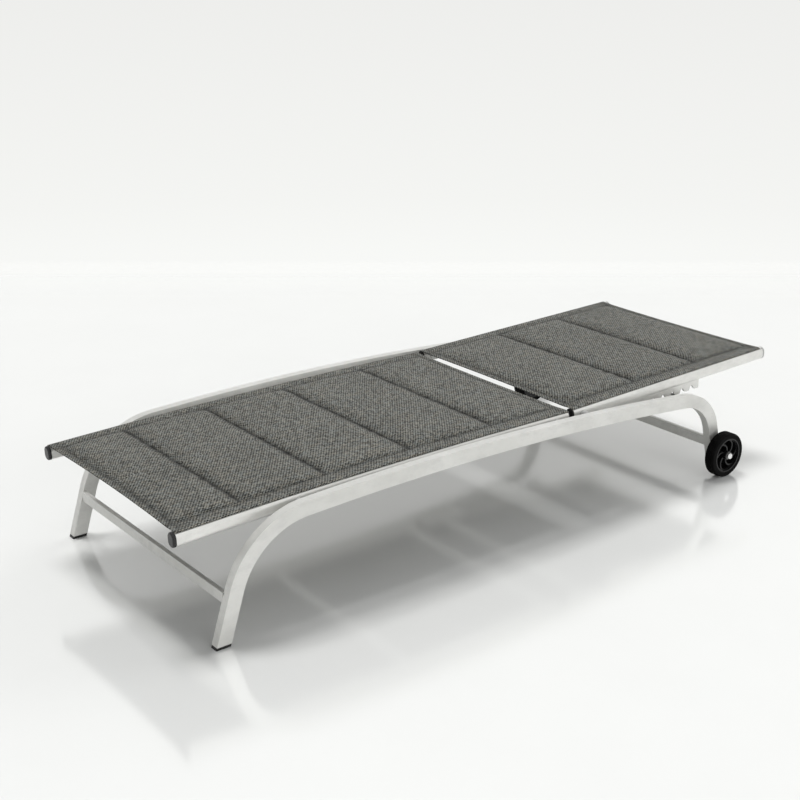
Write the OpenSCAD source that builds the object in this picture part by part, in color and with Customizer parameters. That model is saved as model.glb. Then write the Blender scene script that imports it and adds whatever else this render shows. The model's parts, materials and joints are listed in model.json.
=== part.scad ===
// Reclining sun lounger: two bent side frames, oval sling rails, padded slings,
// a backrest that swings up on a toothed rack and bail, and two transport wheels.
// Millimetres. +Z up, +X from the foot end to the head end, +Y to the left.
// The origin is the middle of the bounding box, on the floor.

/* [Side frames] */
// Overall width over the two side frames
frame_w = 700; // [680:5:720]
// Width of the side frame tube, across the lounger
tube_w = 22; // [20:1:24]
// Depth of the side frame tube, in the plane of the frame
tube_d = 34; // [30:1:36]
// Wall thickness of the side frame tube
tube_wall = 2; // [1.5:0.1:2.2]
// Height of the top of the arch
arch_z = 285; // [280:1:290]
// Backward lean of the front legs, in degrees
front_lean = 17.4; // [15:0.2:20]
// Lean of the rear legs, in degrees
rear_lean = 13.6; // [12:0.2:15]
// Centreline radius of the front bends
front_bend_r = 200; // [190:2:210]
// Centreline radius of the rear bends
rear_bend_r = 130; // [124:2:136]

/* [Crossbars] */
// Height of the crossbar tube
bar_h = 25; // [22:1:28]
// Depth of the crossbar tube
bar_d = 12; // [10:1:14]
// Height of the middle of the front crossbar
front_bar_z = 104; // [98:1:110]
// Height of the middle of the rear crossbar
rear_bar_z = 89; // [86:1:94]

/* [Rails and slings] */
// Width of the oval rails
rail_w = 25; // [24:0.5:26]
// Height of the oval rails
rail_h = 34; // [32:0.5:35]
// Wall thickness of the oval rails
rail_wall = 2; // [1.5:0.1:2.2]
// Distance of each rail's middle from the centre line
rail_y = 295; // [293:0.5:296]
// Top height of the seat rail's middle line
rail_z = 265; // [262:0.5:267]
// Thickness of the padded slings
sling_t = 6; // [4:0.5:7]

/* [Backrest] */
// Distance from the foot end to the hinge, along the floor
hinge_u = 1090; // [1086:1:1094]
// Length of each back rail behind the hinge
back_len = 703; // [690:1:710]
// Rise of the flat backrest towards the head, in degrees
back_rise = 1.38; // [1:0.02:1.6]
// Pitch of the rack notches
notch_pitch = 37; // [36:0.5:38]
// Height of the rack plate below the rail
rack_h = 24; // [22:0.5:24]
// Radius of the bail rod
bail_r = 5; // [4:0.5:5]

/* [Wheels] */
// Wheel radius
wheel_r = 61; // [58:0.5:62]
// Tyre width
tyre_w = 30; // [26:1:32]
// Number of curved spokes
spokes = 6; // [4:1:7]

/* [Hidden] */

foot_u = -60;            // front end of the foot caps
head_u = 1800;           // rear end of the head caps
mid_u = (foot_u+head_u)/2;
half_w = frame_w/2;
tube_y = half_w-tube_w/2;    // middle of the side frame tube
in_y = half_w-tube_w;        // inner face of the side frame
rail_out = rail_y+rail_w/2;  // outer face of the rails
rail_in = rail_y-rail_w/2;
gap = 0.05;

// arch of the side frame, centreline
arch_r = 8400-tube_d/2;
arch_u = 640;
arch_c = arch_z-8400;
function arch_at(u) = arch_c+sqrt(arch_r*arch_r-(u-arch_u)*(u-arch_u));

// front leg: a line leaning back, then a bend tangent to leg and arch
fl_u = 1.5+tube_d/2/cos(front_lean);        // centreline on the floor
fd = [sin(front_lean),cos(front_lean)];
fn = [cos(front_lean),-sin(front_lean)];
function along(p,d,c,r) = // distance along d from p to a circle of radius r round c
 let(w=p-c, b=w*d, q=w*w-r*r) -b-sqrt(b*b-q);
function along2(p,d,c,r) =
 let(w=p-c, b=w*d, q=w*w-r*r) -b+sqrt(b*b-q);
ac = [arch_u,arch_c];
f0 = [fl_u,0]+front_bend_r*fn;
ft = along2(f0,fd,ac,arch_r-front_bend_r);
fc = f0+ft*fd;                              // front bend centre
fa = atan2(fc[1]-arch_c,fc[0]-arch_u);      // angle of the front tangent point on the arch

// rear leg: a line leaning out, then a tight bend
axle_u = 1566.4;
axle_z = wheel_r;
rd = [-sin(rear_lean),cos(rear_lean)];      // up the rear leg
rn = [-cos(rear_lean),-sin(rear_lean)];     // towards the inside of the bend
r0 = [axle_u,axle_z]+rear_bend_r*rn;
rt = along2(r0,rd,ac,arch_r-rear_bend_r);
rc = r0+rt*rd;                              // rear bend centre
ra = atan2(rc[1]-arch_c,rc[0]-arch_u);

// seat rail arc
seat_r = 20000;
seat_u = 700;
seat_c = rail_z-seat_r;
seat_u0 = -52;                              // rail ends
seat_u1 = 1043;
function seat_at(u) = seat_c+sqrt(seat_r*seat_r-(u-seat_u)*(u-seat_u));
sa0 = acos((seat_u0-seat_u)/seat_r);
sa1 = acos((seat_u1-seat_u)/seat_r);

hinge_z = rail_z;
bolt_r = 3;
hole_r = bolt_r+gap;
seat_bolt_u = [240,640,1000];
bail_u = hinge_u+150;
bail_z = arch_at(bail_u);
bail_len = 250;
bail_a = -8;                                // rest angle of the bail arms
bail_y = in_y-10.25;                        // middle of the bail arms
bail_bend = 16;
axle_r = 5;
axle_gap = 12;                              // from the leg to the hub
hub_w = 32;
hub_y0 = half_w+axle_gap+0.3;               // inner face of the hub
hub_y1 = hub_y0+hub_w;

// -- small shapes ------------------------------------------------------------
module rrect(w,h,r) {
 square([w-2*r,h],center=true);
 square([w,h-2*r],center=true);
 for (x=[-1,1],y=[-1,1]) translate([x*(w/2-r),y*(h/2-r)]) circle(r,$fn=32);
}
module crect(w,h,c) // a rectangle with small corner chamfers
 polygon([[-w/2+c,-h/2],[w/2-c,-h/2],[w/2,-h/2+c],[w/2,h/2-c],
          [w/2-c,h/2],[-w/2+c,h/2],[-w/2,h/2-c],[-w/2,-h/2+c]]);
// oval rail section: x is height, y is towards the outside; slot for the fabric edge
slot_a = 52;                                // the slot's direction above the horizontal
slot_c = [(rail_h-rail_w)/2+(rail_w/2-4.6)*sin(slot_a),(rail_w/2-4.6)*cos(slot_a)];
function half_ring(r,c,a,n) = [for (i=[0:n]) c+r*[cos(a+180*i/n),sin(a+180*i/n)]];
// an oval with flat facets, long side along x
module facet_oval(w,h,n) polygon(concat(half_ring(w/2,[(h-w)/2,0],-90,n),half_ring(w/2,[-(h-w)/2,0],90,n)));
module rail_sec() difference() {
 facet_oval(rail_w,rail_h,20);
 difference() {
  facet_oval(rail_w-2*rail_wall,rail_h-2*rail_wall,10);
  translate(slot_c) circle(4.4,$fn=12);
 }
 translate(slot_c) circle(2.8,$fn=12);
 translate(slot_c) rotate(-slot_a) translate([-0.9,0]) square([1.8,8]);
}
// an XZ-plane arc: the section's x is the radius, its y ends up along world -Y
module arc(cu,cz,r,a0,a1,fn=180)
 translate([cu,0,cz]) rotate([90,0,0]) rotate([0,0,a0])
  rotate_extrude(angle=a1-a0,$fn=fn) translate([r,0]) children();
module ybar(r,y0,y1,fn=48) translate([0,y1,0]) rotate([90,0,0]) cylinder(r=r,h=y1-y0,$fn=fn);
module at(u,z) translate([u-mid_u,0,z]) children();
module right() { children(); }
module left() mirror([0,1,0]) children();
// domed oval cap: base on x=0, dome towards +x, long side along z
module oval_dome(w,h,t,r) {
 module prof() { square([w/2-r,t]); square([w/2,t-r]); translate([w/2-r,t-r]) circle(r,$fn=48); }
 rotate([0,90,0]) {
  for (s=[0,1]) rotate([0,0,s*180]) translate([(h-w)/2,0,0]) rotate([0,0,-90])
   rotate_extrude(angle=180,$fn=64) intersection() { prof(); square([w,t]); }
  translate([-(h-w)/2,0,0]) rotate([0,90,0]) rotate([0,0,90]) linear_extrude(h-w)
   for (m=[0,1]) mirror([m,0]) intersection() { prof(); square([w,t]); }
 }
}

// -- fixed frame ---------------------------------------------------------------
// built on the right side, at y = -tube_y
leg_cut = 6;
function arc_pts(c,r,a0,a1,n) = [for (i=[0:n]) let(t=a0+(a1-a0)*i/n) c+r*[cos(t),sin(t)]];
// one edge of the tube, at distance o from its middle line; a and b lengthen the open ends
function edge_pts(o,a,b) = concat(
 [let(t=(leg_cut-a-o*sin(front_lean))/cos(front_lean)) [fl_u,0]+t*fd-o*fn],
 arc_pts(fc,front_bend_r+o,180-front_lean,fa,24),
 [for (p=arc_pts(ac,arch_r+o,fa,ra,24)) if (p[0]>fc[0]+(front_bend_r+o)*cos(fa)+1 && p[0]<rc[0]+(rear_bend_r+o)*cos(ra)-1) p],
 arc_pts(rc,rear_bend_r+o,ra,rear_lean,24),
 [[axle_u,axle_z]-(28+b)*rd-o*rn]);
function turned(v) = [for (i=[len(v)-1:-1:0]) v[i]];
module frame_path(h,w,a,b) translate([0,-tube_y,0]) rotate([90,0,0])
 linear_extrude(w,center=true) polygon(concat(edge_pts(h,a,b),turned(edge_pts(-h,a,b))));
module side_frame() color("gainsboro") translate([-mid_u,0,0]) difference() {
 frame_path(tube_d/2,tube_w,0,0);
 frame_path(tube_d/2-tube_wall,tube_w-2*tube_wall,3,3);
 // holes for the inserts, in the inner wall only
 for (u=seat_bolt_u) translate([u,0,seat_at(u)]) ybar(6.05,-in_y-5,-in_y+5);
 translate([hinge_u,0,hinge_z]) ybar(6.05,-in_y-5,-in_y+5);
 translate([bail_u,0,bail_z]) ybar(6.05,-in_y-5,-in_y+5);
 // axle hole
 translate([axle_u,0,axle_z]) ybar(axle_r+gap,-half_w-5,-in_y+5);
}
module crossbar_sec() difference() {
 rrect(bar_d,bar_h,1.5);
 rrect(bar_d-3,bar_h-3,0.8);
}
module front_crossbar() color("gainsboro")
 at(1.5+tan(front_lean)*front_bar_z+bar_d/2,front_bar_z)
  translate([0,in_y-gap,0]) rotate([90,0,0]) linear_extrude(2*(in_y-gap)) crossbar_sec();
rear_bar_u = axle_u-(rear_bar_z-axle_z)*tan(rear_lean)-tube_d/2/cos(rear_lean)+bar_d/2+2;
module rear_crossbar() color("gainsboro")
 at(rear_bar_u,rear_bar_z)
  translate([0,in_y-gap,0]) rotate([90,0,0]) linear_extrude(2*(in_y-gap)) crossbar_sec();

module foot_pad() color([0.08,0.08,0.08]) at(0,0) translate([0,-tube_y,0]) {
 intersection() {
  translate([fl_u,0,0]) rotate([0,front_lean,0]) translate([0,0,-30]) linear_extrude(60) crect(tube_d+0.6,tube_w+0.6,1.6);
  translate([-100,-50,0]) cube([300,100,leg_cut-gap]);
 }
 intersection() {
  translate([fl_u,0,0]) rotate([0,front_lean,0]) translate([0,0,-20]) linear_extrude(50) rrect(tube_d-2*tube_wall-0.3,tube_w-2*tube_wall-0.3,0.9);
  translate([-100,-50,leg_cut-1]) cube([300,100,60]);
 }
}
module rear_leg_plug() color([0.1,0.1,0.1]) at(axle_u,axle_z) translate([0,-tube_y,0]) rotate([0,-rear_lean,0]) {
 translate([0,0,-28-gap-3]) linear_extrude(3) crect(tube_d,tube_w,1.5);
 translate([0,0,-28-gap-1]) linear_extrude(15) rrect(tube_d-2*tube_wall-0.3,tube_w-2*tube_wall-0.3,0.9);
}
module seat_rail() color("silver") translate([-mid_u,0,0]) difference() {
 translate([0,-rail_y,0]) arc(seat_u,seat_c,seat_r,sa1,sa0,2880) rail_sec();
 for (u=seat_bolt_u) translate([u,0,seat_at(u)]) ybar(hole_r,-rail_out-3,-rail_in+3);
}
module end_plug(t,r) { // cap at the origin, facing -x
 mirror([1,0,0]) translate([gap,0,0]) oval_dome(rail_w+0.4,rail_h+0.4,t,r);
 translate([0,0,0]) rotate([0,90,0]) linear_extrude(12) intersection() {
  facet_oval(rail_w-2*rail_wall-0.5,rail_h-2*rail_wall-0.5,10);
  translate([-5.9,-40]) square([80,80]);
 }
 translate([-gap-1,0,0]) rotate([0,90,0]) linear_extrude(2) intersection() {
  facet_oval(rail_w-2*rail_wall-0.5,rail_h-2*rail_wall-0.5,10);
  translate([-5.9,-40]) square([80,80]);
 }
}
module seat_foot_cap() color([0.25,0.25,0.26]) at(seat_u0,seat_at(seat_u0)) translate([0,-rail_y,0])
 rotate([0,90-sa0,0]) mirror([0,1,0]) end_plug(8,4);
module seat_rear_cap() color([0.05,0.05,0.05]) at(seat_u1,seat_at(seat_u1)) translate([0,-rail_y,0])
 rotate([0,90-sa1,0]) mirror([1,0,0]) mirror([0,1,0]) end_plug(4,2);
module seat_spreader(u) color("silver") at(u,seat_at(u)-2)
 difference() { ybar(10,-rail_in+gap,rail_in-gap); ybar(8.5,-rail_in-1,rail_in+1); }
module seat_spreader_front() seat_spreader(130);
module seat_spreader_middle() seat_spreader(560);
module seat_spreader_rear() seat_spreader(1020);

// sling section: x is height above the rail's middle line, y is across
module sling_sec() {
 oc = (rail_h-rail_w)/2;
 ri = rail_w/2+0.3;
 ro = ri+1.6;
 difference() {
  translate([oc+ro-sling_t,-rail_y]) square([sling_t,2*rail_y]);
  for (s=[-1,1]) translate([oc,s*rail_y]) circle(ri,$fn=64);
 }
 for (s=[-1,1]) translate([oc,s*rail_y]) intersection() {
  difference() { circle(ro,$fn=64); circle(ri,$fn=64); }
  translate([9,s>0 ? 0 : -30]) square([30,30]);
 }
}
seat_s0 = acos((-51-seat_u)/seat_r);
seat_s1 = acos((1042-seat_u)/seat_r);
module seat_sling() color([0.42,0.42,0.42]) translate([-mid_u,0,0])
 arc(seat_u,seat_c,seat_r,seat_s1,seat_s0,2880) sling_sec();
module seat_spline() color([0.85,0.85,0.85]) translate([-mid_u,-rail_y,0])
 arc(seat_u,seat_c,seat_r,seat_s1,seat_s0,2880) translate(slot_c) circle(2,$fn=12);

// a bolt along y from a head on the inner side, right side of the lounger
module bolt(r,y_tip,y_head,head_r,head_t) {
 ybar(r,y_tip,y_head+head_t/2);
 translate([0,y_head,0]) rotate([-90,0,0]) difference() {
  cylinder(r=head_r,h=head_t,$fn=48);
  translate([0,0,head_t-1.8]) cylinder(r=2.6,h=3,$fn=6);
 }
}
module seat_bolts() color("silver") for (m=[0,1]) mirror([0,m,0]) for (u=seat_bolt_u)
 at(u,seat_at(u)) bolt(bolt_r,-in_y-11,-rail_in+gap,7,4);
module seat_spacers() color([0.15,0.15,0.15]) for (m=[0,1]) mirror([0,m,0]) for (u=seat_bolt_u)
 at(u,seat_at(u)) difference() { ybar(8,-in_y+gap,-rail_out-gap); ybar(hole_r,-in_y-1,-rail_out+1); }
module insert() difference() {
 union() { ybar(6,-in_y-13,-in_y-0.2); }
 ybar(hole_r,-in_y-12,-in_y+1);
}
module frame_inserts() color("silver") for (m=[0,1]) mirror([0,m,0]) {
 for (u=seat_bolt_u) at(u,seat_at(u)) insert();
 at(hinge_u,hinge_z) insert();
 at(bail_u,bail_z) insert();
}
module hinge_bolts() color("silver") for (m=[0,1]) mirror([0,m,0])
 at(hinge_u,hinge_z) bolt(bolt_r,-in_y-11,-rail_in+0.3,7.5,4);
module hinge_spacers() color([0.05,0.05,0.05]) for (m=[0,1]) mirror([0,m,0])
 at(hinge_u,hinge_z) difference() { ybar(9,-in_y+gap,-rail_out-0.3); ybar(hole_r,-in_y-1,-rail_out+1); }
bail_eye_t = 8;
module bail_pivot_bolts() color("silver") for (m=[0,1]) mirror([0,m,0])
 at(bail_u,bail_z) bolt(bolt_r,-in_y-11,-bail_y+bail_eye_t/2+0.3,7,2.6);
module bail_pivot_spacers() color([0.05,0.05,0.05]) for (m=[0,1]) mirror([0,m,0])
 at(bail_u,bail_z) difference() { ybar(8,-in_y+gap,-bail_y-bail_eye_t/2-0.3); ybar(hole_r,-in_y-1,-bail_y); }

module axle_bolt() color("silver") at(axle_u,axle_z) {
 ybar(axle_r,-hub_y1-3,-in_y+12);
}
module axle_spacers() color([0.1,0.1,0.1]) for (m=[0,1]) mirror([0,m,0]) at(axle_u,axle_z)
 difference() { ybar(10,-half_w-axle_gap,-half_w-gap); ybar(axle_r+gap,-half_w-axle_gap-1,-half_w+1); }
module axle_nuts() color("silver") for (m=[0,1]) mirror([0,m,0]) at(axle_u,axle_z)
 difference() {
  translate([0,-in_y+gap,0]) rotate([-90,0,0]) cylinder(r=9.2,h=8,$fn=6);
  ybar(axle_r+gap,-in_y-1,-in_y+20);
 }
module axle_washers() color("silver") for (m=[0,1]) mirror([0,m,0]) at(axle_u,axle_z)
 difference() { ybar(9,-hub_y1-1.9,-hub_y1-0.3); ybar(axle_r+gap,-hub_y1-5,-hub_y1+1); }
module axle_caps() color("silver") for (m=[0,1]) mirror([0,m,0]) at(axle_u,axle_z)
 difference() {
  translate([0,-hub_y1-1.9-gap,0]) rotate([90,0,0]) rotate_extrude($fn=64) {
   square([8.5,3.5]);
   square([5,7]);
   intersection() { translate([4.5,3]) circle(4,$fn=48); square([8.5,8]); }
  }
  ybar(axle_r+gap,-hub_y1-3-gap,-hub_y1+1);
 }

// -- backrest: built along +x from the hinge, then raised by back_rise -------------
module back() translate([hinge_u-mid_u,0,hinge_z]) rotate([0,-back_rise,0]) children();
back_s0 = -29;
back_s1 = back_len;
module back_rail() color("silver") back() difference() {
 translate([back_s0,-rail_y,0]) rotate([90,0,90]) linear_extrude(back_s1-back_s0) mirror([1,0]) rotate(90) mirror([0,1]) mirror([0,0]) rail_sec();
 ybar(hole_r,-rail_out-3,-rail_in+3);
}
module head_cap() color([0.55,0.55,0.55]) back() translate([back_s1,-rail_y,0])
 mirror([1,0,0]) mirror([0,1,0]) end_plug(8,4);
module back_hinge_cap() color([0.05,0.05,0.05]) back() translate([back_s0,-rail_y,0])
 difference() { mirror([0,1,0]) end_plug(4,2); }
module back_spreader(s) color("silver") back() translate([s,0,-2])
 difference() { ybar(10,-rail_in+gap,rail_in-gap); ybar(8.5,-rail_in-1,rail_in+1); }
module back_spreader_lower() back_spreader(60);
module back_spreader_head() back_spreader(640);
// rack: a plate under the rail with leaning notches
rack_s0 = 130;
rack_s1 = 448;
rack_t = 5;
notch_s = 422;
notches = 5;
rack_n0 = -rail_h/2-gap;
module rack_2d() difference() {
 union() {
  translate([rack_s0+4,rack_n0-rack_h]) square([rack_s1-rack_s0-8,rack_h]);
  translate([rack_s0,rack_n0-rack_h+4]) square([rack_s1-rack_s0,rack_h-4]);
  for (s=[rack_s0+4,rack_s1-4]) translate([s,rack_n0-rack_h+4]) circle(4,$fn=32);
 }
 for (i=[0:notches-1]) translate([notch_s-i*notch_pitch,rack_n0-rack_h]) rotate(24) {
  translate([-6,-8]) square([12,15]);
  translate([0,7]) circle(6,$fn=32);
 }
 // the mouths of the notches are eased
 for (i=[0:notches-1]) translate([notch_s-i*notch_pitch,rack_n0-rack_h])
  polygon([[-13,-1],[12.5,-1],[8.5,1.6],[5.4,4.5],[3.6,7.5],[-9.6,7.5],[-10.2,4.5],[-11,1.6]]);
}
module rack() color("silver") back() translate([0,-rail_y+rack_t/2,0]) rotate([90,0,0])
 linear_extrude(rack_t) rack_2d();
module back_sling() color([0.42,0.42,0.42]) back() translate([-28,0,0])
 rotate([90,0,90]) linear_extrude(692+28) rotate(90) mirror([0,1]) sling_sec();
module back_spline() color([0.85,0.85,0.85]) back() translate([-25,-rail_y-slot_c[1],slot_c[0]])
 rotate([0,90,0]) cylinder(r=2,h=692+25,$fn=32);

// -- support bail -----------------------------------------------------------------
module support_bail() color("silver") at(bail_u,bail_z) rotate([0,-bail_a,0]) {
 b = bail_bend;
 for (m=[0,1]) mirror([0,m,0]) {
  difference() {
   union() {
    ybar(10,-bail_y-bail_eye_t/2,-bail_y+bail_eye_t/2);
    translate([6,-bail_y,0]) rotate([0,90,0]) cylinder(r=bail_r,h=bail_len-b-6,$fn=32);
   }
   ybar(hole_r,-bail_y-20,-bail_y+20);
   // flats beside the eye
   for (s=[0,1]) translate([-12,-bail_y+(s==0 ? bail_eye_t/2 : -bail_eye_t/2-10),-12]) cube([24,10,24]);
  }
  translate([bail_len-b,-bail_y+b,0]) rotate([0,0,-90]) rotate_extrude(angle=90,$fn=96)
   translate([b,0]) circle(bail_r,$fn=32);
 }
 translate([bail_len,0,0]) ybar(bail_r,-bail_y+b,bail_y-b,32);
}

// -- wheels, on the right side --------------------------------------------------------
tyre_in = 47;
module wheel_at() at(axle_u,axle_z) translate([0,-(hub_y0+hub_w/2),0]) rotate([90,0,0]) children();
module tyre() color([0.06,0.06,0.06]) wheel_at() rotate_extrude($fn=128) difference() {
 union() {
  translate([tyre_in,-tyre_w/2+4]) square([wheel_r-tyre_in,tyre_w-8]);
  translate([tyre_in,-tyre_w/2]) square([wheel_r-tyre_in-4,tyre_w]);
  for (s=[-1,1]) translate([wheel_r-4,s*(tyre_w/2-4)]) circle(4,$fn=32);
 }
 for (s=[-1,0,1]) translate([wheel_r-1.2,s*6.5-0.8]) square([3,1.6]);
}
module hub() color([0.07,0.07,0.07]) wheel_at() {
 difference() {
  union() {
   rotate_extrude($fn=96) {
    difference() {
     translate([41.5,-15]) square([tyre_in-gap-41.5,30]);
     translate([40,9]) square([4,8]);
    }
    translate([8,-12]) square([35,3]);
   }
   cylinder(r=12,h=hub_w,center=true,$fn=64);
   for (i=[0:spokes-1]) rotate([0,0,i*360/spokes]) intersection() {
    translate([0,22,-10.5]) difference() { cylinder(r=23,h=20,$fn=64); translate([0,0,-1]) cylinder(r=19.5,h=22,$fn=64); }
    translate([3,-3,-11]) cube([44,50,24]);
    translate([0,0,-11]) cylinder(r=42.5,h=24,$fn=64);
   }
  }
  cylinder(r=axle_r+gap,h=hub_w+2,center=true,$fn=64);
 }
}

right() side_frame();  // side_frame_right
left() side_frame();  // side_frame_left
front_crossbar();
rear_crossbar();
right() foot_pad();  // foot_pad_right
left() foot_pad();  // foot_pad_left
right() rear_leg_plug();  // rear_leg_plug_right
left() rear_leg_plug();  // rear_leg_plug_left
right() seat_rail();  // seat_rail_right
left() seat_rail();  // seat_rail_left
right() seat_foot_cap();  // seat_foot_cap_right
left() seat_foot_cap();  // seat_foot_cap_left
right() seat_rear_cap();  // seat_rear_cap_right
left() seat_rear_cap();  // seat_rear_cap_left
seat_spreader_front();
seat_spreader_middle();
seat_spreader_rear();
seat_sling();
right() seat_spline();  // seat_spline_right
left() seat_spline();  // seat_spline_left
seat_bolts();
seat_spacers();
frame_inserts();
hinge_bolts();
hinge_spacers();
bail_pivot_bolts();
bail_pivot_spacers();
right() axle_bolt();  // axle_bolt_right
left() axle_bolt();  // axle_bolt_left
axle_spacers();
axle_nuts();
axle_washers();
right() back_rail();  // back_rail_right
left() back_rail();  // back_rail_left
right() head_cap();  // head_cap_right
left() head_cap();  // head_cap_left
right() back_hinge_cap();  // back_hinge_cap_right
left() back_hinge_cap();  // back_hinge_cap_left
back_spreader_lower();
back_spreader_head();
right() rack();  // rack_right
left() rack();  // rack_left
back_sling();
right() back_spline();  // back_spline_right
left() back_spline();  // back_spline_left
support_bail();
right() hub();  // hub_right
left() hub();  // hub_left
right() tyre();  // tyre_right
left() tyre();  // tyre_left
axle_caps();
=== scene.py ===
"""Looks of the reclining sun lounger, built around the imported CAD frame.

Everything is in metres in the part's own frame: +X to the head end, +Y to the left, +Z up,
origin at the middle of the bounding box on the floor. Lengths inside the helpers are in
millimetres, with u measured along the floor from the foot end (u = X + 870 mm)."""
import json
import math

import bpy
import numpy as np
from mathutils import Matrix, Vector, noise


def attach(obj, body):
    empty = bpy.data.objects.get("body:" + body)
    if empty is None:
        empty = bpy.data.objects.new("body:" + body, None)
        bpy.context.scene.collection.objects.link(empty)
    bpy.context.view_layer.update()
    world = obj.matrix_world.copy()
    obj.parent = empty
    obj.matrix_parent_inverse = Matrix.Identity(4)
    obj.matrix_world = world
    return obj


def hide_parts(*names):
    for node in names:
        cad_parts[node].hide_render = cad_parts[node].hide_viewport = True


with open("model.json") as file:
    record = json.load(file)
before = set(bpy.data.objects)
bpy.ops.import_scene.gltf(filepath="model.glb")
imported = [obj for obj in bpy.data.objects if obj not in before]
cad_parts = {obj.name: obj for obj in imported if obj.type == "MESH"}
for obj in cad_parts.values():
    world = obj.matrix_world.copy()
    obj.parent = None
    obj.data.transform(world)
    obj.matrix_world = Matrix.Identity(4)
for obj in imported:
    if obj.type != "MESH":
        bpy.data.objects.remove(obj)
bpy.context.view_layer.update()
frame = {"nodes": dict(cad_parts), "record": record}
scene = bpy.context.scene


# ---------------------------------------------------------------- camera
def add_camera():
    data = bpy.data.cameras.new("camera")
    data.lens = 61.31
    data.sensor_width = 36.0
    data.sensor_fit = "HORIZONTAL"
    data.clip_end = 60
    cam = bpy.data.objects.new("camera", data)
    cam.location = (-2.0880, -2.5354, 1.4409)
    cam.rotation_euler = (math.pi / 2 - 0.3448, 0.0, -0.6611)
    scene.collection.objects.link(cam)
    scene.camera = cam
    return cam


add_camera()


# ---------------------------------------------------------------- node helpers
class Nodes:
    """A short hand for building node trees."""

    def __init__(self, name):
        self.mat = bpy.data.materials.new(name)
        self.mat.use_nodes = True
        self.t = self.mat.node_tree
        self.t.nodes.clear()
        self.out = self.t.nodes.new("ShaderNodeOutputMaterial")
        self.b = self.t.nodes.new("ShaderNodeBsdfPrincipled")
        self.t.links.new(self.b.outputs[0], self.out.inputs[0])

    def link(self, a, b):
        self.t.links.new(a, b)

    def coords(self):
        return self.t.nodes.new("ShaderNodeTexCoord").outputs["Object"]

    def mapping(self, vec, scale=(1, 1, 1), rot=(0, 0, 0)):
        n = self.t.nodes.new("ShaderNodeMapping")
        n.inputs["Scale"].default_value = scale
        n.inputs["Rotation"].default_value = rot
        self.link(vec, n.inputs["Vector"])
        return n.outputs[0]

    def noise(self, vec, scale, detail=3.0, rough=0.55):
        n = self.t.nodes.new("ShaderNodeTexNoise")
        n.inputs["Scale"].default_value = scale
        n.inputs["Detail"].default_value = detail
        n.inputs["Roughness"].default_value = rough
        self.link(vec, n.inputs["Vector"])
        return n.outputs["Fac"]

    def voronoi(self, vec, scale):
        n = self.t.nodes.new("ShaderNodeTexVoronoi")
        n.inputs["Scale"].default_value = scale
        self.link(vec, n.inputs["Vector"])
        return n.outputs["Distance"]

    def math(self, op, a, b=None, c=None, clamp=False):
        n = self.t.nodes.new("ShaderNodeMath")
        n.operation = op
        n.use_clamp = clamp
        for i, v in enumerate((a, b, c)):
            if v is None:
                continue
            if isinstance(v, (int, float)):
                n.inputs[i].default_value = v
            else:
                self.link(v, n.inputs[i])
        return n.outputs[0]

    def ramp(self, fac, stops):
        n = self.t.nodes.new("ShaderNodeValToRGB")
        r = n.color_ramp
        while len(r.elements) > 1:
            r.elements.remove(r.elements[-1])
        for i, (p, col) in enumerate(stops):
            e = r.elements[0] if i == 0 else r.elements.new(p)
            e.position = p
            e.color = (*col, 1.0) if len(col) == 3 else col
        self.link(fac, n.inputs[0])
        return n.outputs[0]

    def mix(self, fac, a, b, mode="MIX"):
        n = self.t.nodes.new("ShaderNodeMix")
        n.data_type = "RGBA"
        n.blend_type = mode
        for v, s in ((fac, n.inputs[0]), (a, n.inputs[6]), (b, n.inputs[7])):
            if isinstance(v, (int, float)):
                s.default_value = v
            elif isinstance(v, tuple):
                s.default_value = (*v, 1.0) if len(v) == 3 else v
            else:
                self.link(v, s)
        return n.outputs[2]

    def bump(self, height, strength, distance, normal=None):
        n = self.t.nodes.new("ShaderNodeBump")
        n.inputs["Strength"].default_value = strength
        n.inputs["Distance"].default_value = distance
        self.link(height, n.inputs["Height"])
        if normal is not None:
            self.link(normal, n.inputs["Normal"])
        return n.outputs[0]

    def remap(self, v, a, b, c, d):
        n = self.t.nodes.new("ShaderNodeMapRange")
        for i, x in enumerate((a, b, c, d)):
            n.inputs[i + 1].default_value = x
        self.link(v, n.inputs[0])
        return n.outputs[0]

    def set(self, **kw):
        for k, v in kw.items():
            self.b.inputs[k.replace("_", " ")].default_value = v


def metal(name, light, dark, metallic, rough, grain=(0.08, 1.0, 1.0)):
    """Satin silver coat: fine orange peel, faint drawn grain and slight handling marks."""
    m = Nodes(name)
    co = m.coords()
    drawn = m.noise(m.mapping(co, grain), 900, 2)
    cloud = m.noise(co, 9, 4)
    marks = m.noise(m.mapping(co, (3, 14, 14)), 30, 5, 0.7)
    base = m.mix(m.remap(cloud, 0.35, 0.65, 0, 1), dark, light)
    patch = m.noise(m.mapping(co, (0.5, 1, 1)), 42, 6, 0.68)
    base = m.mix(m.remap(patch, 0.46, 0.68, 0, 0.6), base, tuple(c * 0.8 for c in light))
    base = m.mix(m.remap(marks, 0.62, 0.75, 0, 0.35), base, tuple(c * 0.86 for c in light))
    m.link(base, m.b.inputs["Base Color"])
    r = m.remap(m.math("ADD", m.math("MULTIPLY", drawn, 0.5), m.math("MULTIPLY", marks, 0.5)), 0.3, 0.7, rough - 0.05, rough + 0.07)
    m.link(r, m.b.inputs["Roughness"])
    fine = m.noise(co, 1400, 2)
    h = m.math("ADD", m.math("MULTIPLY", drawn, 0.6), m.math("MULTIPLY", fine, 0.5))
    m.link(m.bump(h, 0.12, 0.0002), m.b.inputs["Normal"])
    m.set(Metallic=metallic)
    return m.mat


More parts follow.
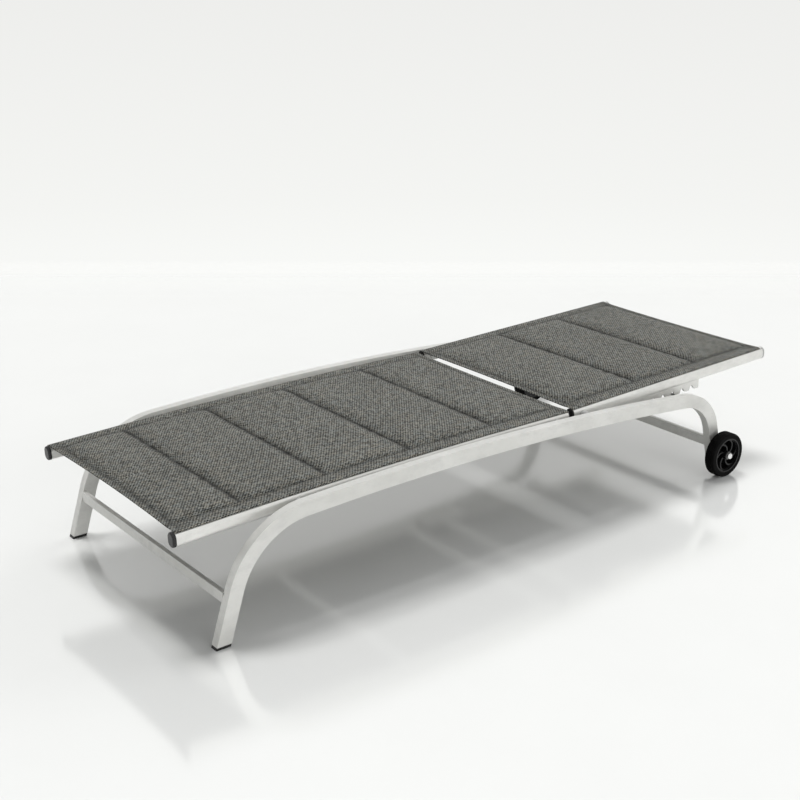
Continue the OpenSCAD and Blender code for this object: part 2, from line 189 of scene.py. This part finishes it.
def plastic(name, colour, rough, lift=1.35, grain=1600, bump=0.25, spec=0.45):
    """Moulded plastic: a fine spark-eroded grain, worn slightly smoother and paler in patches."""
    m = Nodes(name)
    co = m.coords()
    g = m.noise(co, grain, 2)
    cells = m.voronoi(co, grain * 0.6)
    cloud = m.noise(co, 45, 4)
    base = m.mix(m.remap(cloud, 0.35, 0.7, 0, 1), colour, tuple(min(1, c * lift + 0.001) for c in colour))
    m.link(base, m.b.inputs["Base Color"])
    m.link(m.remap(cloud, 0.3, 0.7, rough + 0.05, rough - 0.06), m.b.inputs["Roughness"])
    h = m.math("ADD", m.math("MULTIPLY", g, 0.6), m.math("MULTIPLY", cells, 0.5))
    m.link(m.bump(h, bump, 0.0002), m.b.inputs["Normal"])
    m.set(Specular_IOR_Level=spec)
    return m.mat


def rubber(name):
    m = Nodes(name)
    co = m.coords()
    dust = m.noise(co, 60, 5, 0.65)
    g = m.noise(co, 1200, 3)
    base = m.mix(m.remap(dust, 0.45, 0.75, 0, 1), (0.0025, 0.0025, 0.0025), (0.009, 0.0087, 0.0083))
    m.link(base, m.b.inputs["Base Color"])
    m.link(m.remap(dust, 0.3, 0.7, 0.55, 0.75), m.b.inputs["Roughness"])
    m.link(m.bump(g, 0.3, 0.0003), m.b.inputs["Normal"])
    m.set(Specular_IOR_Level=0.05)
    return m.mat


def fabric(name, light, dark, pitch=(0.0073, 0.0097)):
    """Two-tone woven outdoor fabric. The weave runs along X and round the piece's girth."""
    m = Nodes(name)
    co = m.coords()
    sep = m.t.nodes.new("ShaderNodeSeparateXYZ")
    m.link(co, sep.inputs[0])
    x = sep.outputs[0]
    girth = m.math("SUBTRACT", m.math("ABSOLUTE", sep.outputs[1]), sep.outputs[2])
    # small wander of the yarns so that the grid isn't perfect
    w = m.noise(co, 55, 2)
    wander = m.math("MULTIPLY", m.math("SUBTRACT", w, 0.5), 0.0034)
    wx = m.math("SINE", m.math("MULTIPLY", m.math("ADD", x, wander), 2 * math.pi / pitch[0]))
    wy = m.math("SINE", m.math("MULTIPLY", m.math("SUBTRACT", girth, wander), 2 * math.pi / pitch[1]))
    over = m.math("MULTIPLY", wx, wy)                       # +1 warp on top, -1 weft on top
    over01 = m.remap(over, -0.3, 0.3, 0, 1)
    # melange: yarns are spun from two greys, so their tone changes along their length
    mel = m.remap(m.noise(m.mapping(co, (0.55, 1.2, 1.2)), 190, 1, 0.5), 0.38, 0.62, 0, 1)
    mel2 = m.remap(m.noise(m.mapping(co, (1.3, 0.5, 0.5)), 170, 1, 0.5), 0.38, 0.62, 0, 1)
    fleck = m.remap(m.noise(co, 420, 1, 0.5), 0.38, 0.62, 0, 1)
    tone = m.math("ADD", m.math("MULTIPLY", over01, 0.42),
                  m.math("ADD", m.math("MULTIPLY", mel, 0.24),
                         m.math("ADD", m.math("MULTIPLY", mel2, 0.18), m.math("MULTIPLY", fleck, 0.16))))
    base = m.ramp(tone, [(0.22, dark), (0.5, tuple(b + (a - b) * 0.40 for a, b in zip(light, dark))), (0.80, light)])
    # some yarns are a touch warmer, some cooler
    hue = m.remap(m.noise(m.mapping(co, (0.5, 1.5, 1.5)), 110, 1), 0.38, 0.62, 0, 1)
    base = m.mix(1.0, base, m.mix(hue, (1.05, 1.0, 0.92), (0.955, 1.0, 1.02)), "MULTIPLY")
    cloud = m.noise(co, 7, 3)
    base = m.mix(1.0, base, m.mix(m.remap(cloud, 0.3, 0.7, 0, 1), (1.06, 1.06, 1.06), (0.90, 0.90, 0.90)), "MULTIPLY")
    # painted shade: the colour is darkened along the stitch lines, hems and border. It stands in for the shadow in the
    # seam grooves and on the border strip that turns away from the light, with a little real darkening of the
    # compressed weave. The noise only makes this painted shade patchy.
    at = m.t.nodes.new("ShaderNodeAttribute")
    at.attribute_name = "painted_seam_shade"
    seam_shade_patches = m.remap(m.noise(co, 42, 3, 0.65), 0.3, 0.7, 0.6, 1.25)
    base = m.mix(m.math("MULTIPLY", m.math("MULTIPLY", at.outputs["Fac"], seam_shade_patches), 0.9, clamp=True), base, tuple(c * 0.75 for c in dark))
    m.link(base, m.b.inputs["Base Color"])
    m.link(m.remap(tone, 0, 1, 0.86, 0.70), m.b.inputs["Roughness"])
    crown = m.math("ADD", m.math("ABSOLUTE", over), m.math("MULTIPLY", mel, 0.35))
    m.link(m.bump(crown, 0.5, 0.0008), m.b.inputs["Normal"])
    m.set(Sheen_Weight=0.05, Sheen_Roughness=0.5, Specular_IOR_Level=0.22)
    return m.mat


MAT = {
    "frame_aluminium": metal("satin_frame", (0.715, 0.712, 0.687), (0.64, 0.638, 0.61), 0.42, 0.38),
    "rail_aluminium": metal("satin_rail", (0.80, 0.795, 0.77), (0.745, 0.74, 0.715), 0.55, 0.33, (0.05, 1, 1)),
    "dark_grey_plastic": plastic("cap_dark_grey", (0.010, 0.010, 0.0105), 0.28, spec=0.42),
    "grey_plastic": plastic("cap_grey", (0.36, 0.36, 0.35), 0.40, 1.15),
    "black_plastic": plastic("black_plastic", (0.006, 0.006, 0.006), 0.42, spec=0.3),
    "spline_plastic": plastic("spline_plastic", (0.55, 0.55, 0.53), 0.5, 1.1),
    "tyre": rubber("tyre_rubber"),
    "hub_plastic": plastic("hub_plastic", (0.004, 0.004, 0.0042), 0.30, 1.5, 1800, 0.15, spec=0.35),
    "bright_cap": metal("bright_cap", (0.86, 0.86, 0.86), (0.8, 0.8, 0.8), 1.0, 0.12, (1, 1, 1)),
    "steel": metal("plated_steel", (0.66, 0.66, 0.65), (0.55, 0.55, 0.54), 1.0, 0.28, (1, 1, 1)),
}
FABRIC = fabric("woven_sling", (0.255, 0.255, 0.235), (0.008, 0.008, 0.0077))
THREAD = plastic("stitch_thread", (0.05, 0.05, 0.048), 0.6, 1.4, 2500, 0.4)

slots = {p["node"]: p.get("material_slot") for p in frame["record"]["subparts"]}
for name, o in frame["nodes"].items():
    m = MAT.get(slots.get(name))
    if m is None:
        continue
    if not o.data.materials:
        o.data.materials.append(m)
    if name in ("hinge_spacers", "seat_spacers"):
        m = MAT["grey_plastic"]
    for i in range(len(o.material_slots)):
        o.material_slots[i].material = m


# drawn tubes have eased edges
for name, width in (("side_frame_right", 0.0016), ("side_frame_left", 0.0016)):
    o = frame["nodes"][name]
    bv = o.modifiers.new("eased_edges", "BEVEL")
    bv.width = width
    bv.segments = 2
    bv.limit_method = "ANGLE"
    bv.angle_limit = math.radians(50)
    bv.use_clamp_overlap = True
    bv.harden_normals = True


# ---------------------------------------------------------------- slings
RAIL_Y, RI, RO, OC = 295.0, 12.8, 14.4, 4.5     # rail middle, inner and outer wrap radius, circle centre height


def place_seat(u, y, n):
    """Seat sling: n is the height over the middle line of the curved seat rail."""
    ph = np.arcsin((u - 700.0) / 20000.0)
    return np.stack([(700 + (20000 + n) * np.sin(ph) - 870), y, 265 - 20000 + (20000 + n) * np.cos(ph)], -1) / 1000


def place_back(s, y, n):
    """Back sling: s runs from the hinge to the head, n is the height over the rail's middle line."""
    r = math.radians(1.38)
    return np.stack([220 + s * math.cos(r) - n * math.sin(r), y, 265 + s * math.sin(r) + n * math.cos(r)], -1) / 1000


def graded(a, b, near=(0, 1.5, 4, 8, 14), step=10.0):
    """Stations from a to b, close together at both ends."""
    near = [d for d in near if d < (b - a) / 2 - 3]
    lo, hi = a + near[-1], b - near[-1]
    n = max(2, int(round((hi - lo) / step)))
    mid = list(np.linspace(lo, hi, n + 1))
    return [a + d for d in near[:-1]] + mid + [b - d for d in near[:-1]][::-1]


def stations(lines, step=10.0):
    out = []
    for a, b in zip(lines[:-1], lines[1:]):
        seg = graded(a, b, step=step)
        out += seg if not out else seg[1:]
    return np.array(out)


BORDER = 264.0        # the border stitch line, from the middle
HEM = 17.0            # hem stitch, from each end


def noise1(v, seed, scale):
    return np.array([noise.noise(Vector((float(x) / scale, seed * 7.31, seed * 1.7))) for x in v.ravel()]).reshape(v.shape)


def noise2(a, b, seed, sa, sb=None):
    sb = sb or sa
    return np.array([noise.noise(Vector((float(p) / sa, float(q) / sb, seed * 3.17))) for p, q in zip(a.ravel(), b.ravel())]).reshape(a.shape)


class Sling:
    """A padded, quilted sling as one closed mesh: a grid of columns along its length and rings round its girth."""

    def __init__(self, name, place, u0, u1, seams, concave, seed):
        self.name, self.place, self.seed = name, place, seed
        self.u0, self.u1, self.seams = u0, u1, seams
        self.lines = [u0 + HEM] + list(seams) + [u1 - HEM]
        self.concave = concave              # how far the middle of each end draws in
        us = [u0, u0 + 1.5, u0 + 5, u0 + 10, u0 + 14.5]
        us += list(stations(self.lines))
        us += [u1 - 14.5, u1 - 10, u1 - 5, u1 - 1.5, u1]
        self.us = np.array(us)
        # half girth, from the middle out: flat part then the wrap round the rail
        ys = [0.0] + list(graded(-BORDER, BORDER))[0:0]
        flat = [y for y in stations([-BORDER, BORDER]) if y > 0.5]
        ys = [0.0] + flat + [BORDER + 1.5, BORDER + 4, BORDER + 9, BORDER + 16, BORDER + 24, RAIL_Y]
        wrap = [6, 12, 18, 24, 29, 33, 36, 38]         # degrees past the top, down to the slot in the rail
        self.half = [("f", y) for y in ys] + [("w", a) for a in wrap]

    def ring(self):
        """The girth as a list of (side, kind, value, layer): top from right to left, then back underneath."""
        h = self.half
        top = [(-1, k, v, "t") for k, v in h[:0:-1]] + [(1, h[0][0], h[0][1], "t")] + [(1, k, v, "t") for k, v in h[1:]]
        bot = [(s, k, v, "b") for s, k, v, _ in top[::-1]]
        return top + bot

    def edge_u(self, u, y):
        """Draw the two ends in towards the middle of the span."""
        t = 1 - np.clip(np.abs(y) / RAIL_Y, 0, 1) ** 2
        a = np.clip(1 - (u - self.u0) / 90.0, 0, 1) ** 1.5 * self.concave[0]
        b = np.clip(1 - (self.u1 - u) / 90.0, 0, 1) ** 1.5 * self.concave[1]
        return u + (a - b) * t

    def levels(self, u, y):
        """Top and bottom heights of the flat part, with the seams pressed in, and the distance to the nearest line."""
        ay = np.abs(y)
        wob = noise1(y, self.seed, 38.0) * 1.3
        d = np.full(u.shape, 1e9)
        for i, L in enumerate(self.lines):
            d = np.minimum(d, np.abs(u - L - (wob if 0 < i < len(self.lines) - 1 else 0)))
        inside = np.clip((BORDER - ay), 0, None)
        d_in = np.minimum(d, inside)
        hem = (u < self.lines[0]) | (u > self.lines[-1])
        pad = (ay < BORDER) & ~hem
        rise = 1 - np.exp(-(d_in / 8.0) ** 1.15)
        crown = np.clip(d_in / 90.0, 0, 1) * 0.9
        top = 17.0 + np.where(pad, 4.1 * rise + crown, 0)
        bot = 15.6 - np.where(pad, 2.6 * rise + crown * 0.8, 0)
        # the band over the rail climbs gently to the rail's top
        t = np.clip((ay - BORDER) / (RAIL_Y - BORDER), 0, 1)
        t = t * t * (3 - 2 * t)
        band_top = 17.0 + 0.5 * (1 - np.exp(-(ay - BORDER).clip(0) / 4.0)) + t * 1.4
        band_bot = 15.6 + t * 1.7
        top = np.where(ay >= BORDER, band_top, top)
        bot = np.where(ay >= BORDER, band_bot, bot)
        # hems are folded double: a slight step up, pressed in at their stitch line
        dh = np.minimum(np.abs(u - self.lines[0]), np.abs(u - self.lines[-1]))
        lift = np.where(hem & (ay < RAIL_Y), 0.75 * (1 - np.exp(-dh / 3.5)) * np.clip((RAIL_Y - ay) / 20, 0, 1), 0)
        top = top + lift
        bot = bot - lift
        return top, bot, d_in

    def build(self):
        ring = self.ring()
        U, V = len(self.us), len(ring)
        u = np.repeat(self.us[:, None], V, 1)
        side = np.array([r[0] for r in ring], float)[None, :].repeat(U, 0)
        kind = np.array([r[1] == "w" for r in ring])[None, :].repeat(U, 0)
        val = np.array([r[2] for r in ring], float)[None, :].repeat(U, 0)
        lay = np.array([r[3] == "t" for r in ring])[None, :].repeat(U, 0)
        y = np.where(kind, 0, side * val)
        top, bot, d = self.levels(u, y)
        n = np.where(lay, top, bot)
        ang = np.radians(90 - val)
        r = np.where(lay, RO, RI)
        # the edge turns in to the slot
        r = np.where(kind & (val >= 38), np.where(lay, RI + 0.45, RI + 0.05), np.where(kind & (val >= 36), np.where(lay, RO - 0.35, RI), r))
        yw = side * (RAIL_Y + r * np.cos(ang))
        nw = OC + r * np.sin(ang)
        y = np.where(kind, yw, y)
        n = np.where(kind, nw, n)
        self.d = np.where(kind, 0.0, d)
        self.u, self.y, self.n, self.lay, self.kind = u, y, n, lay, kind
        ue = self.edge_u(u, np.where(kind, RAIL_Y, np.abs(y)))
        co = self.place(ue, y, n).reshape(-1, 3)
        faces = []
        for i in range(U - 1):
            a, b = i * V, (i + 1) * V
            for j in range(V):
                k = (j + 1) % V
                faces.append((a + j, b + j, b + k, a + k))
        T = V // 2
        for i, flip in ((0, False), (U - 1, True)):      # close the two ends between the layers
            a = i * V
            for j in range(T - 1):
                q = (a + j, a + j + 1, a + V - 2 - j, a + V - 1 - j)
                faces.append(q[::-1] if flip else q)
        me = bpy.data.meshes.new(self.name)
        me.from_pydata([tuple(map(float, c)) for c in co], [], faces)
        me.update()
        self.obj = bpy.data.objects.new(self.name, me)
        scene.collection.objects.link(self.obj)
        self.free = ((self.d > 0.6) & ~kind & (np.abs(self.y) < BORDER) & (u > self.lines[0]) & (u < self.lines[-1])).reshape(-1)
        return self.obj


def volume(me):
    v = 0.0
    for p in me.polygons:
        c = [me.vertices[i].co for i in p.vertices]
        for i in range(1, len(c) - 1):
            v += c[0].dot(c[i].cross(c[i + 1]))
    return v / 6


def puff(sl, cap, frames=16, pressure=3.0):
    """Inflates the padding with a cloth simulation. Seams, hems and borders are sewn, so they are pinned."""
    o = sl.obj
    me = o.data
    before = np.zeros(len(me.vertices) * 3)
    me.vertices.foreach_get("co", before)
    before = before.reshape(-1, 3)
    g = o.vertex_groups.new(name="sewn")
    free = sl.free
    g.add([int(i) for i in np.nonzero(~free)[0]], 1.0, "REPLACE")
    m = o.modifiers.new("cloth", "CLOTH")
    s = m.settings
    s.quality = 4
    s.mass = 0.25
    s.tension_stiffness = 12
    s.compression_stiffness = 6
    s.shear_stiffness = 4
    s.bending_stiffness = 0.25
    s.vertex_group_mass = "sewn"
    s.use_pressure = True
    s.uniform_pressure_force = pressure
    s.shrink_min = -0.012
    s.effector_weights.gravity = 0.0
    m.collision_settings.use_collision = False
    m.collision_settings.use_self_collision = False
    m.point_cache.frame_start = 1
    m.point_cache.frame_end = frames
    scene.frame_start, scene.frame_end = 1, frames
    for f in range(1, frames + 1):
        scene.frame_set(f)
    dg = bpy.context.evaluated_depsgraph_get()
    ev = o.evaluated_get(dg)
    after = np.zeros(len(ev.data.vertices) * 3)
    ev.data.vertices.foreach_get("co", after)
    after = after.reshape(-1, 3)
    o.modifiers.remove(m)
    scene.frame_set(1)
    move = after - before
    if not np.isfinite(move).all():
        move[:] = 0
    dist = np.linalg.norm(move, axis=1)
    k = cap * np.tanh(dist / cap) / np.maximum(dist, 1e-9)
    move *= k[:, None]
    move[~free] = 0
    me.vertices.foreach_set("co", (before + move).ravel())
    me.update()
    print(sl.name, "cloth moved up to %.2f mm, capped to %.2f mm" % (dist.max() * 1000, np.linalg.norm(move, axis=1).max() * 1000))


def finish_sling(sl, body, node):
    o = sl.obj
    if volume(o.data) < 0:
        o.data.flip_normals()
    puff(sl, 0.0022)
    # gathers that run out of every stitch line, and slow unevenness of the padding
    me = o.data
    co = np.zeros(len(me.vertices) * 3)
    me.vertices.foreach_get("co", co)
    co = co.reshape(-1, 3)
    u, y, d = sl.u.reshape(-1), sl.y.reshape(-1), sl.d.reshape(-1)
    free = sl.free
    near_t = np.min([np.abs(u - L) for L in sl.lines], axis=0)
    near_b = np.abs(BORDER - np.abs(y))
    g1 = noise2(y, u, sl.seed + 1, 12.0, 70.0) * np.exp(-near_t / 15.0)
    g2 = noise2(u, y, sl.seed + 2, 12.0, 60.0) * np.exp(-near_b / 12.0)
    slow = noise2(u, y, sl.seed + 3, 95.0)
    pull = noise2(u - y, u + y, sl.seed + 6, 30.0, 190.0)      # slanting pulls across each panel
    amount = (1.45 * g1 + 1.2 * g2) * (1 - np.exp(-d / 3.0)) + 0.6 * slow * (1 - np.exp(-d / 25.0)) + 0.55 * pull * (1 - np.exp(-d / 9.0))
    sign = np.where(sl.lay.reshape(-1), 1.0, -1.0)
    # the hems pucker a little as well
    hem = ~free & ~sl.kind.reshape(-1) & (np.abs(y) < BORDER + 8)
    hem &= (u < sl.lines[0] - 1) | (u > sl.lines[-1] + 1)
    amount = np.where(free, amount, np.where(hem, 0.35 * noise2(y, u, sl.seed + 4, 12.0, 60.0), 0))
    co[:, 2] += amount * sign / 1000.0 * 0.9
    me.vertices.foreach_set("co", co.ravel())
    me.update()
    # how close each point is to a stitch line: painted shade is stored here and darkens the fabric along the seams,
    # hems and border. It is mostly the shadow in the seam grooves and on the border strip turned away from the light,
    # and partly the real darker, compressed weave
    inner = np.min([np.abs(u - L) for L in sl.seams], axis=0)
    edge = np.where(sl.kind.reshape(-1), 1e3, np.minimum(near_b, np.min([np.abs(u - sl.lines[0]), np.abs(u - sl.lines[-1])], axis=0)))
    inner = np.where(np.abs(y) < BORDER + 2, inner, 1e3)
    ragged = 1.0 + 0.55 * noise2(y, u, sl.seed + 8, 9.0, 40.0)
    seam_shade = np.maximum(np.exp(-(inner / (5.2 * ragged)) ** 2) * 0.6 + np.exp(-(inner / (13.0 * ragged)) ** 2) * 0.4, (np.exp(-(edge / 3.5) ** 2) * 0.5 + np.exp(-(edge / 11.0) ** 2) * 0.5) * 0.62)
    at = me.attributes.new("painted_seam_shade", "FLOAT", "POINT")
    at.data.foreach_set("value", seam_shade.astype(np.float32))
    for p in me.polygons:
        p.use_smooth = True
    sub = o.modifiers.new("smooth", "SUBSURF")
    sub.levels = sub.render_levels = 1
    me.materials.append(FABRIC)
    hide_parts(node)
    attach(o, body)
    return o


SEAT = Sling("seat_sling_quilted", place_seat, -52.5, 1045.0, [125, 345, 576, 825], (7.0, 4.5), 1)
BACK = Sling("back_sling_quilted", place_back, -31.0, 695.0, [232, 465], (4.5, 6.0), 5)
for sl in (SEAT, BACK):
    sl.build()
finish_sling(SEAT, "frame", "seat_sling")
finish_sling(BACK, "backrest", "back_sling")


# ---------------------------------------------------------------- stitching
def stitches(name, sl, body):
    """Thread lying in every seam, border and hem line: short raised stitches on the top side."""
    verts, faces = [], []
    L, R, SEG = 3.6, 0.42, 6

    def stitch(a, b, up):
        a, b, up = Vector(a), Vector(b), Vector(up)
        d = (b - a).normalized()
        side = d.cross(up).normalized()
        base = len(verts)
        for t, k, sink in ((0.0, 0.35, 0.9), (0.18, 0.9, 0.2), (0.5, 1.0, 0.0), (0.82, 0.9, 0.2), (1.0, 0.35, 0.9)):
            c = a.lerp(b, t) - up * (sink * R / 1000)
            for i in range(SEG):
                an = 2 * math.pi * i / SEG
                verts.append(tuple(c + side * (math.cos(an) * R * k / 1000) + up * (math.sin(an) * R * k / 1000)))
        for r in range(4):
            for i in range(SEG):
                j = (i + 1) % SEG
                faces.append((base + r * SEG + i, base + r * SEG + j, base + (r + 1) * SEG + j, base + (r + 1) * SEG + i))
        faces.append(tuple(base + i for i in range(SEG))[::-1])
        faces.append(tuple(base + 4 * SEG + i for i in range(SEG)))

    def run(points, up):
        """points: dense polyline in metres"""
        p = np.array(points)
        seg = np.linalg.norm(np.diff(p, axis=0), axis=1)
        s = np.concatenate([[0], np.cumsum(seg)])
        pos, pitch = 1.0e-3, (L + 1.0) / 1000
        while pos + L / 1000 < s[-1]:
            ends = []
            for q in (pos, pos + L / 1000):
                ends.append([np.interp(q, s, p[:, i]) for i in range(3)])
            stitch(ends[0], ends[1], up)
            pos += pitch

    def top_at(u, y):
        u, y = np.array(u, float), np.array(y, float)
        t, _, _ = sl.levels(u, y)
        return sl.place(sl.edge_u(u, np.abs(y)), y, t + 0.15)

    ys = np.linspace(-BORDER, BORDER, 140)
    up = (0, 0, 1)
    wob = noise1(ys, sl.seed, 38.0) * 1.3
    for i, Ln in enumerate(sl.lines):
        inner = 0 < i < len(sl.lines) - 1
        run(top_at(Ln + (wob if inner else 0 * ys), ys), up)
    us = np.linspace(sl.u0 + 3, sl.u1 - 3, 260)
    for s in (-1, 1):
        run(top_at(us, np.full(us.shape, s * BORDER)), up)
    me = bpy.data.meshes.new(name)
    me.from_pydata(verts, [], faces)
    me.update()
    for p in me.polygons:
        p.use_smooth = True
    o = bpy.data.objects.new(name, me)
    scene.collection.objects.link(o)
    me.materials.append(THREAD)
    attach(o, body)
    return o


stitches("seat_stitching", SEAT, "frame")
stitches("back_stitching", BACK, "backrest")


# ---------------------------------------------------------------- floor, world and lights
def add_floor():
    yaw = 0.6611
    fwd = Vector((math.sin(yaw), math.cos(yaw), 0))
    side = Vector((math.cos(yaw), -math.sin(yaw), 0))
    far, near, half = 2.55, 9.0, 9.0
    c = [fwd * far - side * half, fwd * far + side * half, -fwd * near + side * half, -fwd * near - side * half]
    me = bpy.data.meshes.new("studio_floor")
    me.from_pydata([tuple(p) for p in c], [], [(0, 3, 2, 1)])
    me.update()
    o = bpy.data.objects.new("studio_floor", me)
    scene.collection.objects.link(o)
    m = Nodes("studio_floor")
    co = m.coords()
    cloud = m.noise(co, 3, 3)
    m.link(m.mix(m.remap(cloud, 0.3, 0.7, 0, 1), (0.86, 0.865, 0.85), (0.875, 0.88, 0.865)), m.b.inputs["Base Color"])
    m.link(m.remap(m.noise(co, 60, 3), 0.3, 0.7, 0.105, 0.13), m.b.inputs["Roughness"])
    m.b.inputs["IOR"].default_value = 1.95
    m.set(Metallic=0.14)
    # the floor runs out softly into the backdrop along its edges

    def run_out(direction, start, end):
        d = m.t.nodes.new("ShaderNodeVectorMath")
        d.operation = "DOT_PRODUCT"
        m.link(co, d.inputs[0])
        d.inputs[1].default_value = direction
        return m.remap(d.outputs["Value"], start, end, 0, 1)

    rim = run_out(fwd, 1.95, far - 0.02)
    for direction in (-fwd, side, -side):
        rim = m.math("MAXIMUM", rim, run_out(direction, 5.0, 8.9))
    clear = m.t.nodes.new("ShaderNodeBsdfTransparent")
    both = m.t.nodes.new("ShaderNodeMixShader")
    m.link(rim, both.inputs[0])
    m.link(m.b.outputs[0], both.inputs[1])
    m.link(clear.outputs[0], both.inputs[2])
    m.link(both.outputs[0], m.out.inputs[0])
    me.materials.append(m.mat)
    return o


def add_world():
    w = bpy.data.worlds.new("studio")
    scene.world = w
    w.use_nodes = True
    t = w.node_tree
    t.nodes.clear()
    out = t.nodes.new("ShaderNodeOutputWorld")
    co = t.nodes.new("ShaderNodeTexCoord")
    sep = t.nodes.new("ShaderNodeSeparateXYZ")
    t.links.new(co.outputs["Generated"], sep.inputs[0])
    r = t.nodes.new("ShaderNodeMapRange")
    for i, x in enumerate((-0.26, 0.0, 0.0, 1.0)):
        r.inputs[i + 1].default_value = x
    t.links.new(sep.outputs[2], r.inputs[0])
    ramp = t.nodes.new("ShaderNodeValToRGB")
    e = ramp.color_ramp.elements
    e[0].position, e[0].color = 0.0, (0.955, 0.965, 0.945, 1)
    e[1].position, e[1].color = 1.0, (0.835, 0.835, 0.82, 1)
    mid = e.new(0.25)
    mid.color = (0.905, 0.91, 0.89, 1)
    t.links.new(r.outputs[0], ramp.inputs[0])
    seen = t.nodes.new("ShaderNodeBackground")
    t.links.new(ramp.outputs[0], seen.inputs[0])
    seen.inputs[1].default_value = 1.0
    fill = t.nodes.new("ShaderNodeBackground")
    fill.inputs[0].default_value = (0.97, 0.985, 1.0, 1)
    fill.inputs[1].default_value = 0.33
    path = t.nodes.new("ShaderNodeLightPath")
    mx = t.nodes.new("ShaderNodeMixShader")
    t.links.new(path.outputs["Is Diffuse Ray"], mx.inputs[0])
    t.links.new(seen.outputs[0], mx.inputs[1])
    t.links.new(fill.outputs[0], mx.inputs[2])
    t.links.new(mx.outputs[0], out.inputs[0])


def add_sun(name, direction, angle, strength, colour=(1, 1, 1), gloss=True):
    """direction points from the object to the light"""
    d = bpy.data.lights.new(name, "SUN")
    d.angle = math.radians(angle)
    d.energy = strength
    d.color = colour
    o = bpy.data.objects.new(name, d)
    o.rotation_euler = (-Vector(direction)).to_track_quat("-Z", "Y").to_euler()
    o.visible_glossy = gloss
    scene.collection.objects.link(o)
    return o


add_floor()
add_world()
add_sun("overhead_softbox", (0.06, 0.30, 1.0), 20, 1.95, gloss=False)
add_sun("front_fill", (0.1, -1.0, 0.15), 50, 1.75, gloss=False)
add_sun("head_fill", (0.97, 0.1, 0.29), 55, 1.4, gloss=False)

scene.view_settings.view_transform = "Standard"
scene.view_settings.look = "None"
